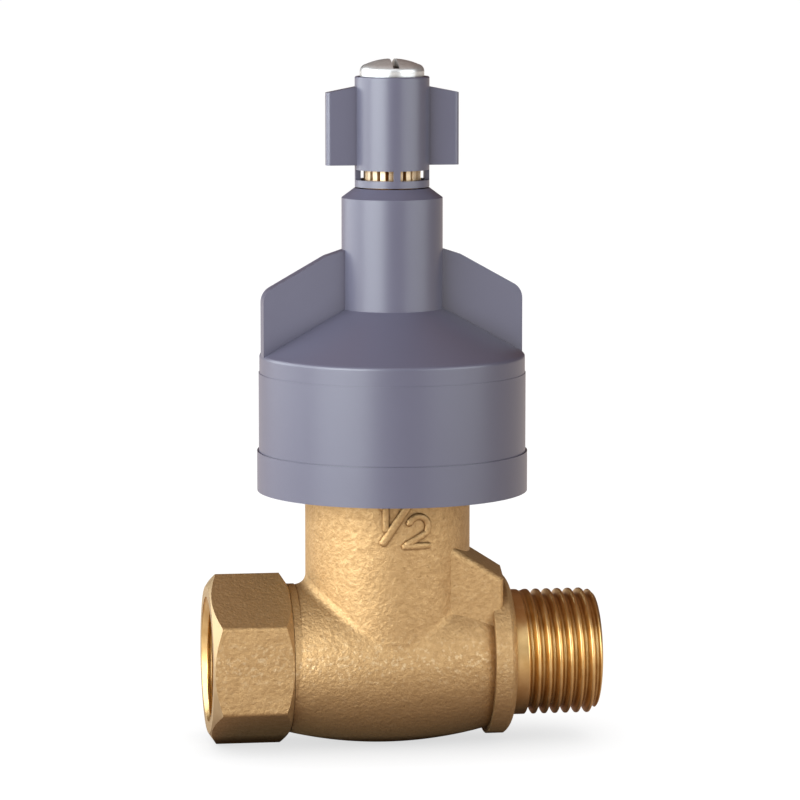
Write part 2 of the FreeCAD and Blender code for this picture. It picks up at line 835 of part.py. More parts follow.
# Protective shield
def make_protective_shield():
    """Moulded bell that keeps mortar off the headwork: drum, cone, tube and two fins."""
    body = new_body("protective_shield", turn=d.shield_turn_angle)
    lip_radius = d.drum_radius + d.drum_lip_step
    lip_top_z = drum_bottom_z + d.drum_lip_height
    band_radius = d.drum_radius - d.drum_band_step
    band_z = drum_top_z - d.drum_band_height
    drum_inner = d.drum_radius - d.shield_wall
    sleeve_inner = d.bonnet_sleeve_radius + d.shield_clearance
    spindle_hole = d.spindle_radius + d.spindle_hole_clearance
    cone_slope = d.cone_height / (band_radius - d.tube_radius)
    cone_ceiling_z = cone_top_z - d.cone_wall_height
    turned(
        body,
        [
            (drum_inner, drum_bottom_z),
            (lip_radius, drum_bottom_z),
            (lip_radius, lip_top_z),
            (d.drum_radius, lip_top_z),
            (d.drum_radius, band_z),
            (band_radius, band_z),
            (band_radius, drum_top_z),
            (d.tube_radius, cone_top_z),
            (d.tube_radius, tube_top_z - d.tube_bevel_height),
            (d.tube_top_radius, tube_top_z),
            (spindle_hole, tube_top_z),
            (spindle_hole, tube_end_z),
            (sleeve_inner, tube_end_z),
            (sleeve_inner, shield_seat_z),
            (d.tube_radius, shield_seat_z),
            (d.tube_radius, cone_ceiling_z),
            (drum_inner, cone_ceiling_z - cone_slope * (drum_inner - d.tube_radius)),
        ],
    )
    drum_width = band_radius.value * 2.0
    rounded(body, d.cone_edge_round, lambda e: is_circle_at(e, drum_width, drum_top_z.value))

    fin_reach = d.drum_radius - d.fin_setback
    fin_root = (d.tube_radius + sleeve_inner) / 2.0
    fin_bottom_z = cone_top_z - d.cone_wall_height / 2.0
    fin_top_z = cone_top_z + d.fin_height
    fin_drop = cone_slope * (fin_reach - d.tube_radius)
    root_drop = cone_slope * (fin_root - d.tube_radius)
    shelf_drop = cone_slope * d.fin_shelf_length
    fin_sketch = new_sketch(body, "XZ_Plane")
    draw(
        fin_sketch,
        [
            (fin_root, fin_bottom_z - root_drop),
            (fin_reach, fin_bottom_z - fin_drop),
            (fin_reach, fin_top_z - fin_drop),
            (d.tube_radius + d.fin_shelf_length, fin_top_z - shelf_drop),
            (d.tube_radius, fin_top_z - d.fin_shelf_drop),
            (fin_root, fin_top_z - d.fin_shelf_drop),
        ],
    )
    fin = extruded(body, fin_sketch, d.fin_thickness, both_ways=True)
    polar_pattern(body, fin, FIN_COUNT)
    corner_z = (fin_top_z - fin_drop).value
    thickness = d.fin_thickness.value
    rounded(body, d.fin_corner_round, lambda e: is_short_bar(e, thickness, corner_z))
    return body


def is_circle_at(edge, width, height):
    box = edge.BoundBox
    return near(box.XLength, width) and near(box.ZLength, 0.0) and near(box.ZMax, height)


def is_short_bar(edge, length, height):
    """A straight edge across a thin plate, along Y at the given height."""
    box = edge.BoundBox
    return near(box.YLength, length) and near(box.XLength, 0.0) and near(box.ZMax, height)


# Wing knob and its screw
def make_wing_knob():
    """Moulded knob: splined sleeve on four ribs over an open ring, with two flat wings and a screw recess."""
    body = new_body("wing_knob")
    ring_inner = d.knob_radius - d.knob_ring_wall
    bore = d.spindle_radius + d.running_clearance
    bore_z = window_top_z + d.knob_counterbore
    rim_z = knob_top_z - d.knob_rim_round
    rim_radius = d.knob_radius - d.knob_rim_round
    rim_middle = (
        rim_radius + d.knob_rim_round / SQRT_2,
        rim_z + d.knob_rim_round / SQRT_2,
    )
    screw_hole = d.screw_thread_radius + d.stop_clearance
    turned(
        body,
        [
            (ring_inner, knob_z),
            (d.knob_radius, knob_z),
            (d.knob_radius, rim_z),
            (rim_radius, knob_top_z, rim_middle),
            (d.knob_recess_radius, knob_top_z),
            (d.knob_recess_radius, screw_seat_z),
            (screw_hole, screw_seat_z),
            (screw_hole, spindle_top_z),
            (bore, spindle_top_z),
            (bore, bore_z),
            (ring_inner, bore_z),
        ],
    )
    window = new_sketch(body, "XY_Plane", window_z)
    rib_side = d.knob_rib_width / 2.0
    window_reach = d.knob_radius * OVERCUT
    draw(window, rectangle(rib_side, window_reach, rib_side, window_reach))
    window_cut = extruded(body, window, d.knob_window_height, "Pocket", reverse=True)
    polar_pattern(body, window_cut, WINDOW_COUNT)

    wing_root = (d.knob_radius + bore) / 2.0
    wing_z = knob_z + d.wing_foot
    wing_top_z = wing_z + d.wing_height
    wing_sketch = new_sketch(body, "XZ_Plane")
    draw(
        wing_sketch,
        [
            (wing_root, wing_z),
            (d.wing_half_span, wing_z),
            (d.wing_half_span, wing_top_z - d.wing_slope_drop),
            (wing_root, wing_top_z),
        ],
    )
    wing = extruded(body, wing_sketch, d.wing_thickness, both_ways=True)
    polar_pattern(body, wing, WING_COUNT)
    span = d.wing_half_span.value

    def wing_tip(edge):
        box = edge.BoundBox
        return near(box.XLength, 0.0) and near(abs(edge.CenterOfMass.x), span) and box.ZLength > 1.0

    rounded(body, d.wing_edge_round, wing_tip)

    tooth = new_sketch(body, "XY_Plane", bore_z)
    tip = d.spindle_radius - d.spline_depth + d.spline_clearance
    base = bore + d.running_clearance
    draw(tooth, spline_notch(tip, base))
    tooth_pad = extruded(body, tooth, spindle_top_z - bore_z)
    polar_pattern(body, tooth_pad, SPLINE_TEETH)
    return body


def make_knob_screw():
    """Round-headed screw with a cross slot that clamps the knob on the spindle."""
    body = new_body("knob_screw")
    head_top_z = screw_seat_z + d.screw_head_height
    dome_z = screw_seat_z + d.screw_head_side
    crown_z = head_top_z - d.screw_crown
    shoulder_middle = (
        d.screw_shoulder_radius + (d.screw_head_radius - d.screw_shoulder_radius) / SQRT_2,
        dome_z + (crown_z - dome_z) / SQRT_2,
    )
    crown_middle = (d.screw_shoulder_radius / 2.0, crown_z + d.screw_crown * DOME_HALFWAY_RISE)
    turned(
        body,
        [
            (ZERO, screw_seat_z - d.screw_length),
            (d.screw_thread_radius, screw_seat_z - d.screw_length),
            (d.screw_thread_radius, screw_seat_z),
            (d.screw_head_radius, screw_seat_z),
            (d.screw_head_radius, dome_z),
            (d.screw_shoulder_radius, crown_z, shoulder_middle),
            (ZERO, head_top_z, crown_middle),
        ],
    )
    slot = new_sketch(body, "XY_Plane", head_top_z - d.screw_slot_depth)
    half = d.screw_slot_width / 2.0
    reach = d.screw_head_radius * OVERCUT
    draw(slot, rectangle(ZERO, reach, -half, half))
    slot_cut = extruded(body, slot, d.screw_slot_depth, "Pocket", reverse=True)
    polar_pattern(body, slot_cut, SLOT_ARMS)
    return body


pieces = [
    make_valve_body(),
    make_bonnet(),
    make_bonnet_gasket(),
    make_spindle(),
    *make_stem_seals(),
    make_thrust_washer(),
    make_clip_washer(),
    make_retaining_clip(),
    make_lift_piston(),
    make_piston_seal(),
    make_disc_washer(),
    make_disc_plate(),
    make_disc_screw(),
    make_protective_shield(),
    make_wing_knob(),
    make_knob_screw(),
]
doc.recompute()

failed = [o.Label for o in doc.Objects if "Invalid" in o.State or "Error" in o.State]
if failed:
    raise RuntimeError(f"features that did not build: {failed}")
for piece in pieces:
    shape = piece.Shape
    if shape.isNull() or not shape.isValid() or len(shape.Solids) != 1:
        raise RuntimeError(f"{piece.Label} is not one valid solid")

os.makedirs("parts", exist_ok=True)
for piece in pieces:
    piece.Shape.exportStep(f"parts/{piece.Label}.step")
    print(f"{piece.Label}: {piece.Shape.Volume:.1f} cubic millimetres")
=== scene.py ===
import bpy
import math

import numpy as np
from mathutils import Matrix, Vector


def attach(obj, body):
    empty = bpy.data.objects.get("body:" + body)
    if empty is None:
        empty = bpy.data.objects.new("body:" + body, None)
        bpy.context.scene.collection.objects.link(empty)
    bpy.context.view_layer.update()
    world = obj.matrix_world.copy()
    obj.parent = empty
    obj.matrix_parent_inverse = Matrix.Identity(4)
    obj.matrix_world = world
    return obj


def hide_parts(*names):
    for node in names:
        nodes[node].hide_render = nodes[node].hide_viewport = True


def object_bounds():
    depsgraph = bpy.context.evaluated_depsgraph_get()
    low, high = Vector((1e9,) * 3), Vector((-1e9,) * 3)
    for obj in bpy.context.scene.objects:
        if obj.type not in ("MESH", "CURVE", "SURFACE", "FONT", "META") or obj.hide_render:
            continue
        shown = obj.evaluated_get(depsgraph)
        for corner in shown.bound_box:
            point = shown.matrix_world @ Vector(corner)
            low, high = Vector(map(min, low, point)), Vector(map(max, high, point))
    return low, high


# Looks of the concealed isolating valve. The frame is in metres: origin at the inlet mouth,
# +X along the pipe run, +Z up the stem. Sizes below are in metres too.

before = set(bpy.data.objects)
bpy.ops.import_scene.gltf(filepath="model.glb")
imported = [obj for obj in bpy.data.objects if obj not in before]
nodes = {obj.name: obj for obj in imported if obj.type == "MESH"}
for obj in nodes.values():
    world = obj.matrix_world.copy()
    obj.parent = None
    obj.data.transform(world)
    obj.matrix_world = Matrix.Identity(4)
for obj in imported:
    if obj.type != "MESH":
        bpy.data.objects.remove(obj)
cad_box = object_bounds()
MM = 0.001

# Casting, as in the solids
STEM_X = 31.0 * MM
NECK_X = STEM_X - 0.8 * MM
NECK_RADIUS = 13.68 * MM
OUTLET_END = 65.0 * MM
OUTLET_BORE = 7.3 * MM
SHANK_START = 50.35 * MM
INLET_MOUTH = 0.0
SOCKET_END = 13.0 * MM
SOCKET_MOUTH_RADIUS = 10.4155 * MM
INLET_BORE = 8.4 * MM
HEX_FACE_BEVEL = 1.5 * MM
HEX_END_LEAN = 0.3
CHAMBER_RADIUS = 10.6 * MM
CHAMBER_FLOOR = 2.0 * MM

# Half-inch pipe thread: 14 turns to the inch, rounded crests and roots
THREAD_PITCH = 1.8143 * MM
THREAD_START = 52.85 * MM
THREAD_CREST = 10.4775 * MM
THREAD_ROOT = 9.3155 * MM
THREAD_DEPTH = THREAD_CREST - THREAD_ROOT
THREAD_END_BEVEL = 0.9 * MM
THREAD_FLAT = 1.0 / 6.0
FADES_PER_TURN = 3.0
FADE_LEAD = 0.4
SOCKET_PLAIN_PITCHES = 0.5
ROWS_PER_PITCH = 22
QUARTER_TURN = 0.25

# How close a point lies to a wall or rim that it belongs to, and the digits that join loose points
SLACK = 0.01 * MM
NODE_DIGITS = 8
MARK_DIGITS = 9

# Places of the casting's finishes in its list of materials
FORGED, CUT, FACED = 0, 1, 2

# Pipe size pressed proud of the neck
MARK_WIDTH = 1.15 * MM
BAR_WIDTH = 1.4 * MM
MARK_HEIGHT = 0.55 * MM
MARK_SINK = 0.25 * MM
STROKE_STEP = 0.15 * MM
FEWEST_STEPS = 12
LOOP_POINTS = 16

# The two tones that each finish drifts between
PRESSED_BRASS = ((0.43, 0.274, 0.124, 1.0), (0.53, 0.352, 0.168, 1.0))
CUT_BRASS = ((0.7, 0.455, 0.18, 1.0), (0.8, 0.56, 0.255, 1.0))
FACED_BRASS = ((0.43, 0.305, 0.165, 1.0), (0.49, 0.36, 0.205, 1.0))
SPINDLE_BRASS = ((0.76, 0.64, 0.45, 1.0), (0.84, 0.73, 0.54, 1.0))
HEADWORK_BRASS = ((0.5, 0.32, 0.13, 1.0), (0.6, 0.4, 0.18, 1.0))
SHIELD_PLASTIC = ((0.096, 0.093, 0.134, 1.0), (0.102, 0.099, 0.142, 1.0))
RING_RUBBER = ((0.024, 0.024, 0.024, 1.0), (0.04, 0.04, 0.04, 1.0))
PRESSED_FIBRE = ((0.22, 0.05, 0.03, 1.0), (0.36, 0.09, 0.05, 1.0))
WASHER_PLASTIC = ((0.76, 0.76, 0.72, 1.0), (0.82, 0.82, 0.78, 1.0))

# The painted shade in a metal's slots, then the tone of its clean faces, and how far its worn patches lie
# between them
PLATED_SCREW = ((0.03, 0.03, 0.03, 1.0), (0.7, 0.71, 0.7, 1.0))
CLIP_STEEL = ((0.2, 0.2, 0.21, 1.0), (0.46, 0.46, 0.47, 1.0))
WORN_SHARE = 0.7

# Marks, and painted shade for the corners of brass and plastic and the grooves of turned brass
BRASS_FLECK = (0.7, 0.55, 0.34, 1.0)
BRASS_PIT = (0.2, 0.11, 0.04, 1.0)
BRASS_PAINTED_SHADE = (0.17, 0.085, 0.03, 1.0)
GROOVE_PAINTED_SHADE = (0.2, 0.1, 0.03, 1.0)
PLASTIC_PAINTED_SHADE = (0.05, 0.047, 0.07, 1.0)
PIT_SHARE = 0.4

# Line where the dies met: its height, and the distances between which its flecks thin out
PARTING_HEIGHT = 1.2 * MM
FLECKS_DENSE = 1.0 * MM
FLECKS_THIN = 4.5 * MM

# Camera, as seen in the photograph
AIM = Vector((32.34 * MM, 0.16 * MM, 42.8 * MM))
VIEW_TURN = math.radians(8.06)
VIEW_RISE = math.radians(7.0)
VIEW_DISTANCE = 675.0 * MM
FOCAL_LENGTH = 183.2
SENSOR_WIDTH = 36.0
CLIP_END = 100.0

# Floor: the reach of its shade for the eye and in mirrors, and how white it is in shade and in the open
FLOOR_REACH = 14.0
NEAR_SHADE = 0.02
WIDE_SHADE = 0.16
SHADE_POWER = 2.6
SHADOW_WHITE = 0.66
MIRROR_WHITE = 0.8
WHITE = (1.0, 1.0, 1.0, 1.0)
FLOOR_GREY = (0.08, 0.08, 0.08, 1.0)
FLOOR_UNDER_VALVE = (1.0, 0.45, 0.3, 1.0)
FLOOR_IN_OPEN = (1.0, 0.86, 0.76, 1.0)

# Room and lamps. A lamp has its turn from the camera and its rise from the floor in degrees,
# its width and height in metres and its power in watts.
ROOM_COLOUR = (1.0, 0.54, 0.36, 1.0)
LAMP_COLOUR = (0.93, 1.0, 1.05)
LAMP_DISTANCE = 0.9
LAMPS = {
    "left_front_box": (43.0, 12.0, 0.9, 0.7, 15.6),
    "left_back_box": (103.0, 12.0, 0.9, 0.7, 8.0),
    "right_box": (-58.0, 12.0, 0.95, 0.7, 6.6),
    "high_box": (0.0, 40.0, 0.6, 0.4, 0.8),
}

# Sockets of Blender's Mix node that belong to colours
MIX_FACTOR, MIX_FIRST, MIX_SECOND, MIX_RESULT = 0, 6, 7, 2


# Meshes
def join_points(points, digits):
    """Points rounded to so many digits and each kept once, and the new number of every old point."""
    joined, place = np.unique(np.round(points, digits), axis=0, return_inverse=True)
    return joined, place.ravel()


def node_arrays(name):
    """Points, triangles and corner normals of a CAD node, with the points of its loose faces joined."""
    mesh = nodes[name].data
    points = np.empty(len(mesh.vertices) * 3)
    mesh.vertices.foreach_get("co", points)
    corners = np.empty(len(mesh.loops), dtype=np.int64)
    mesh.loops.foreach_get("vertex_index", corners)
    normals = np.empty(len(mesh.loops) * 3)
    mesh.corner_normals.foreach_get("vector", normals)
    joined, place = join_points(points.reshape(-1, 3), NODE_DIGITS)
    return joined, place[corners].reshape(-1, 3), normals.reshape(-1, 3, 3)


def piece(name, points, faces, body, materials, material_of_face=None, corner_normals=None):
    """A smooth-shaded object at the origin that rides on a body.

    Faces are rows of four corners. A corner that is the same point as the next one is left out, so
    that a row with one point twice is a triangle."""
    kept = faces != np.roll(faces, -1, axis=1)
    corners = faces[kept].astype(np.int32)
    sides = kept.sum(axis=1)
    mesh = bpy.data.meshes.new(name)
    mesh.vertices.add(len(points))
    mesh.vertices.foreach_set("co", points.ravel())
    mesh.loops.add(len(corners))
    mesh.loops.foreach_set("vertex_index", corners)
    mesh.polygons.add(len(faces))
    mesh.polygons.foreach_set("loop_start", (np.cumsum(sides) - sides).astype(np.int32))
    for material in materials:
        mesh.materials.append(material)
    mesh.polygons.foreach_set("use_smooth", np.ones(len(faces), dtype=bool))
    if material_of_face is not None:
        mesh.polygons.foreach_set("material_index", material_of_face.astype(np.int32))
    mesh.update(calc_edges=True)
    mesh.validate()
    if corner_normals is not None:
        mesh.normals_split_custom_set(corner_normals.tolist())
    made = bpy.data.objects.new(name, mesh)
    bpy.context.scene.collection.objects.link(made)
    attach(made, body)
    return made


def numbered(grid, first):
    """Point numbers of a grid of points, row by row from the first number."""
    rows, columns = grid.shape[:2]
    return np.arange(rows * columns).reshape(rows, columns) + first


def grid_faces(numbers):
    """Quads between neighbouring rows of a grid of point numbers, closed round its columns."""
    here = np.hstack([numbers, numbers[:, :1]])
    quads = np.stack([here[:-1, :-1], here[:-1, 1:], here[1:, 1:], here[1:, :-1]], axis=-1)
    return quads.reshape(-1, 4)


def with_fourth(triangles):
    """Triangles as rows of four corners, the first one twice."""
    return np.hstack([triangles, triangles[:, :1]])


def ring_faces(outer, outer_angles, inner, inner_angles):
    """Triangles that fill the flat ring between two rims, each given as numbers and rising angles.

    The angles of both rims are sorted together. Each one is a step along its own rim, and makes the
    triangle between that step and the point that the other rim has reached."""
    angles = np.concatenate([outer_angles, inner_angles])
    from_outer = np.arange(len(angles)) < len(outer)
    from_outer = from_outer[np.argsort(angles, kind="stable")]
    at_outer = np.cumsum(from_outer) - 1
    at_inner = np.cumsum(~from_outer) - 1
    step_out = np.stack([outer[at_outer - 1], outer[at_outer], inner[at_inner]])
    step_in = np.stack([outer[at_outer], inner[at_inner], inner[at_inner - 1]])
    return np.where(from_outer, step_out, step_in).T


def smooth_step(value):
    """A value held between 0 and 1 and eased at both ends: three of its squares less two of its cubes."""
    value = np.clip(value, 0.0, 1.0)
    return value * value * (3.0 - 2.0 * value)


def within(value, low, high):
    """Which values lie between two limits, or within the slack of one."""
    return (value > low - SLACK) & (value < high + SLACK)


# Casting with its threads
def thread_phase(along, angle):
    """Pitches from the first groove: the way along the pipe, less the angle in turns from straight up."""
    return (along - THREAD_START) / THREAD_PITCH - (angle / math.tau - QUARTER_TURN)


def thread_groove(phase):
    """Depth of a pipe thread, from 0 on its crest to 1 in its root.

    A triangle wave of the phase, cut off at a sixth at both ends and eased a little, gives straight
    flanks with rounded crests and roots."""
    wave = np.abs(2.0 * (phase - np.floor(phase)) - 1.0)
    flank = np.clip((wave - THREAD_FLAT) / (1.0 - 2.0 * THREAD_FLAT), 0.0, 1.0)
    return 0.5 * (flank + smooth_step(flank))


def outlet_radius(along, angle):
    """Male thread: the crest radius less the groove, under an end bevel.

    The turns along the groove, counted from its first middle, fade it in over a third of a turn."""
    phase = thread_phase(along, angle)
    turns = np.round(phase) + angle / math.tau - QUARTER_TURN
    fade = smooth_step(turns * FADES_PER_TURN + FADE_LEAD)
    thread = THREAD_CREST - THREAD_DEPTH * fade * thread_groove(phase)
    bevel = THREAD_CREST - np.maximum(along - (OUTLET_END - THREAD_END_BEVEL), 0.0)
    return np.minimum(thread, bevel)


def socket_radius(along, angle):
    """Female thread: the root radius plus the groove, opened by a mouth bevel.

    The groove fades out over one pitch and leaves a plain half pitch at the bottom."""
    fade = smooth_step((SOCKET_END - along) / THREAD_PITCH - SOCKET_PLAIN_PITCHES)
    thread = THREAD_ROOT + THREAD_DEPTH * fade * thread_groove(thread_phase(along, angle))
    bevel = SOCKET_MOUTH_RADIUS - along
    return np.maximum(thread, bevel)


def threaded_wall(radius_of, start, end, angles, start_radius, end_radius):
    """Points of a wall about the run: rows along X, columns at the given angles, radius from the formula."""
    rows = int(round((end - start) / THREAD_PITCH * ROWS_PER_PITCH))
    along = np.linspace(start, end, rows)[:, None]
    angle = angles[None, :]
    radius = radius_of(along, angle)
    radius[0] = start_radius
    radius[-1] = end_radius
    places = np.broadcast_to(along, radius.shape)
    return np.stack([places, radius * np.cos(angle), radius * np.sin(angle)], axis=-1)


def rim(points, along, radius):
    """Numbers and rising angles of the points on a circle about the run."""
    found = np.hypot(points[:, 1], points[:, 2])
    chosen = np.flatnonzero(within(points[:, 0], along, along) & within(found, radius, radius))
    angles = np.arctan2(points[chosen, 2], points[chosen, 1])
    order = np.argsort(angles)
    return chosen[order], angles[order]


def cut_thread(points, first, radius_of, start, start_radius, end, end_radius, bore):
    """A threaded wall that grows from a rim of the plain mesh, and the flat ring at its far end.

    The wall's first row is that rim itself. The ring runs from its last row to the rim of the bore."""
    start_rim, angles = rim(points, start, start_radius)
    bore_rim, bore_angles = rim(points, end, bore)
    wall = threaded_wall(radius_of, start, end, angles, start_radius, end_radius)
    numbers = numbered(wall, first)
    numbers[0] = start_rim
    ring = ring_faces(numbers[-1], angles, bore_rim, bore_angles)
    return wall.reshape(-1, 3), grid_faces(numbers), ring


def plain_casting():
    """Mesh of the solid body without the plain walls that stand for its two pipe threads."""
    points, triangles, normals = node_arrays("valve_body")
    along = points[:, 0]
    radius = np.hypot(points[:, 1], points[:, 2])
    outlet = within(along, SHANK_START, OUTLET_END) & within(radius, OUTLET_BORE, THREAD_CREST)
    socket = within(along, INLET_MOUTH, SOCKET_END) & within(radius, INLET_BORE, SOCKET_MOUTH_RADIUS)
    kept = ~(outlet[triangles].all(axis=1) | socket[triangles].all(axis=1))
    return points, triangles[kept], normals[kept]


def finish_of_faces(points, triangles, normals):
    """Finish of the solid's faces: cut in the bores, faced where the hexagon's end leans towards the
    inlet, else as pressed."""
    middle = points[triangles].mean(axis=1)
    facing = normals.mean(axis=1)
    in_run = np.hypot(middle[:, 1], middle[:, 2]) < THREAD_ROOT
    in_chamber = np.hypot(middle[:, 0] - STEM_X, middle[:, 1]) < CHAMBER_RADIUS
    in_chamber &= middle[:, 2] > CHAMBER_FLOOR
    hex_end = (middle[:, 0] < HEX_FACE_BEVEL) & (facing[:, 0] < -HEX_END_LEAN)
    return np.where(hex_end, FACED, np.where(in_run | in_chamber, CUT, FORGED))


def make_casting(materials):
    """The pressed body with both pipe threads cut.

    The plain walls that stand for the threads are left out of a copy of the solid's mesh. A threaded
    wall that starts on the same rim, and a flat ring at its far end, close each gap. The socket's
    faces look inwards, so their corners run the other way round."""
    points, triangles, normals = plain_casting()
    male, male_quads, outlet_ring = cut_thread(
        points, len(points), outlet_radius,
        SHANK_START, THREAD_CREST, OUTLET_END, THREAD_CREST - THREAD_END_BEVEL, OUTLET_BORE,
    )
    female, female_quads, socket_ring = cut_thread(
        points, len(points) + len(male), socket_radius,
        INLET_MOUTH, SOCKET_MOUTH_RADIUS, SOCKET_END, THREAD_ROOT, INLET_BORE,
    )
    quads = np.concatenate([male_quads, female_quads[:, ::-1]])
    rings = np.concatenate([outlet_ring, socket_ring[:, ::-1]])
    faces = np.concatenate([with_fourth(triangles), quads, with_fourth(rings)])
    used, faces = np.unique(faces, return_inverse=True)
    used_points = np.concatenate([points, male, female])[used]

    finish = finish_of_faces(points, triangles, normals)
    material_of_face = np.concatenate([finish, np.full(len(quads) + len(rings), CUT)])
    unset = np.zeros((len(quads) * 4, 3))
    downstream = np.tile([1.0, 0.0, 0.0], (len(outlet_ring) * 3, 1))
    upstream = np.tile([-1.0, 0.0, 0.0], (len(socket_ring) * 3, 1))
    corner_normals = np.concatenate([normals.reshape(-1, 3), unset, downstream, upstream])
    casting = piece(
        "valve_casting", used_points, faces.reshape(-1, 4), "housing", materials,
        material_of_face, corner_normals,
    )
    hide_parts("valve_body")


# Size mark
def arc(centre, radius, start, end, count=14):
    """Points on an arc, from one angle to another in degrees."""
    angle = np.radians(np.linspace(start, end, count))
    return np.stack([centre[0] + radius * np.cos(angle), centre[1] + radius * np.sin(angle)], axis=1)


def raised_stroke(path, width):
    """A rounded ridge on the neck along a path of (arc length round the neck, height) points.

    The section is a flattened loop: its width runs across the path and its height stands off the
    neck, with the lower half sunk in. The loop shrinks to a point at both ends of the path."""
    step = np.linalg.norm(np.diff(path, axis=0), axis=1)
    way = np.concatenate([[0.0], np.cumsum(step)])
    count = max(FEWEST_STEPS, int(way[-1] / STROKE_STEP))
    even = np.linspace(0.0, way[-1], count)
    line = np.stack([np.interp(even, way, path[:, k]) for k in (0, 1)], axis=1)
    along = np.gradient(line, axis=0)
    along /= np.linalg.norm(along, axis=1, keepdims=True)
    across = np.stack([along[:, 1], -along[:, 0]], axis=1)
    from_end = np.minimum(even, way[-1] - even) / (width / 2.0)
    size = np.sqrt(np.clip(1.0 - (1.0 - np.clip(from_end, 0.0, 1.0)) ** 2, 0.0, 1.0))[:, None]
    turn = np.linspace(0.0, math.tau, LOOP_POINTS, endpoint=False)[None, :]
    sideways = size * width / 2.0 * np.cos(turn)
    rise = np.where(np.sin(turn) > 0.0, MARK_HEIGHT, MARK_SINK) * np.sign(np.sin(turn))
    rise = size * rise * np.sqrt(np.abs(np.sin(turn)))
    around = (line[:, :1] + across[:, :1] * sideways) / NECK_RADIUS
    height = line[:, 1:] + across[:, 1:] * sideways
    radius = NECK_RADIUS + rise
    return np.stack([NECK_X + radius * np.sin(around), -radius * np.cos(around), height], axis=-1)


def make_size_mark(material):
    """Half-inch mark: a small figure one, a slanting bar and a figure two, pressed proud of the neck.

    Each path's points are millimetres round the neck and millimetres up the stem."""
    bar = np.array([[-2.95, 20.5], [1.7, 27.4]])
    one = np.array([[-3.2, 26.4], [-2.15, 27.5], [-2.15, 22.6]])
    bowl = np.concatenate([arc((3.3, 23.6), 1.7, 178.0, -38.0), [[0.75, 20.45]]])
    foot = np.array([[0.3, 20.4], [5.6, 20.4]])
    points, faces, first = [], [], 0
    for path, width in ((bar, BAR_WIDTH), (one, MARK_WIDTH), (bowl, MARK_WIDTH), (foot, MARK_WIDTH)):
        grid = raised_stroke(path * MM, width)
        faces.append(grid_faces(numbered(grid, first))[:, ::-1])
        points.append(grid.reshape(-1, 3))
        first += len(points[-1])
    joined, place = join_points(np.concatenate(points), MARK_DIGITS)
    quads = place[np.concatenate(faces)]
    piece("neck_size_mark", joined, quads, "housing", [material])


# Shader nodes
def set_socket(tree, socket, value):
    """Gives a socket a plain value, or a link where the value is another node's output."""
    if isinstance(value, bpy.types.NodeSocket):
        tree.links.new(value, socket)
    else:
        socket.default_value = value


def set_inputs(tree, node, **values):
    """Sets some of a node's inputs, each by the socket's name with underscores for its spaces."""
    for name, value in values.items():
        set_socket(tree, node.inputs[name.replace("_", " ")], value)


def add(tree, kind, **values):
    """A new node with some of its inputs set."""
    made = tree.nodes.new(kind)
    set_inputs(tree, made, **values)
    return made


def math_node(tree, operation, first, second=0.0):
    """Result of one step of arithmetic on one or two values."""
    made = tree.nodes.new("ShaderNodeMath")
    made.operation = operation
    set_socket(tree, made.inputs[0], first)
    set_socket(tree, made.inputs[1], second)
    return made.outputs[0]


def mix_colour(tree, factor, first, second):
    """Colour between two, the first where the factor is 0 and the second where it is 1."""
    made = tree.nodes.new("ShaderNodeMix")
    made.data_type = "RGBA"
    set_socket(tree, made.inputs[MIX_FACTOR], factor)
    set_socket(tree, made.inputs[MIX_FIRST], first)
    set_socket(tree, made.inputs[MIX_SECOND], second)
    return made.outputs[MIX_RESULT]


def ranged(tree, value, low, high, to_low=0.0, to_high=1.0):
    """A value carried from one range to another, and held at its ends."""
    made = add(tree, "ShaderNodeMapRange", Value=value, From_Min=low, From_Max=high)
    set_inputs(tree, made, To_Min=to_low, To_Max=to_high)
    return made.outputs["Result"]


def object_place(tree):
    """Place on the piece, which stays with it when it moves."""
    return tree.nodes.new("ShaderNodeTexCoord").outputs["Object"]


def new_material(name):
    """A material, its nodes and its shader."""
    material = bpy.data.materials.new(name)
    material.use_nodes = True
    tree = material.node_tree
    return material, tree, tree.nodes["Principled BSDF"]


# Effects that the finishes share
def new_group(name, inputs, outputs):
    """A node group with its sockets, and the sockets that stand for them inside it."""
    group = bpy.data.node_groups.new(name, "ShaderNodeTree")
    for label, kind in inputs.items():
        group.interface.new_socket(label, in_out="INPUT", socket_type=kind)
    for label, kind in outputs.items():
        group.interface.new_socket(label, in_out="OUTPUT", socket_type=kind)
    return group, group.nodes.new("NodeGroupInput").outputs, group.nodes.new("NodeGroupOutput").inputs


def place_group(tree, group, **values):
    """The output of a node group that is placed in a material with its own values."""
    made = tree.nodes.new("ShaderNodeGroup")
    made.node_tree = group
    set_inputs(tree, made, **values)
    return made.outputs[0]


def make_mottle_group():
    """Patchy mask: noise of a given scale, stretched between two levels."""
    group, given, result = new_group(
        "mottle",
        {
            "Vector": "NodeSocketVector", "Scale": "NodeSocketFloat",
            "Low": "NodeSocketFloat", "High": "NodeSocketFloat",
        },
        {"Mask": "NodeSocketFloat"},
    )
    noise = add(group, "ShaderNodeTexNoise", Vector=given["Vector"], Scale=given["Scale"])
    set_inputs(group, noise, Detail=5.0, Roughness=0.6)
    mask = ranged(group, noise.outputs["Fac"], given["Low"], given["High"])
    set_socket(group, result["Mask"], mask)
    return group


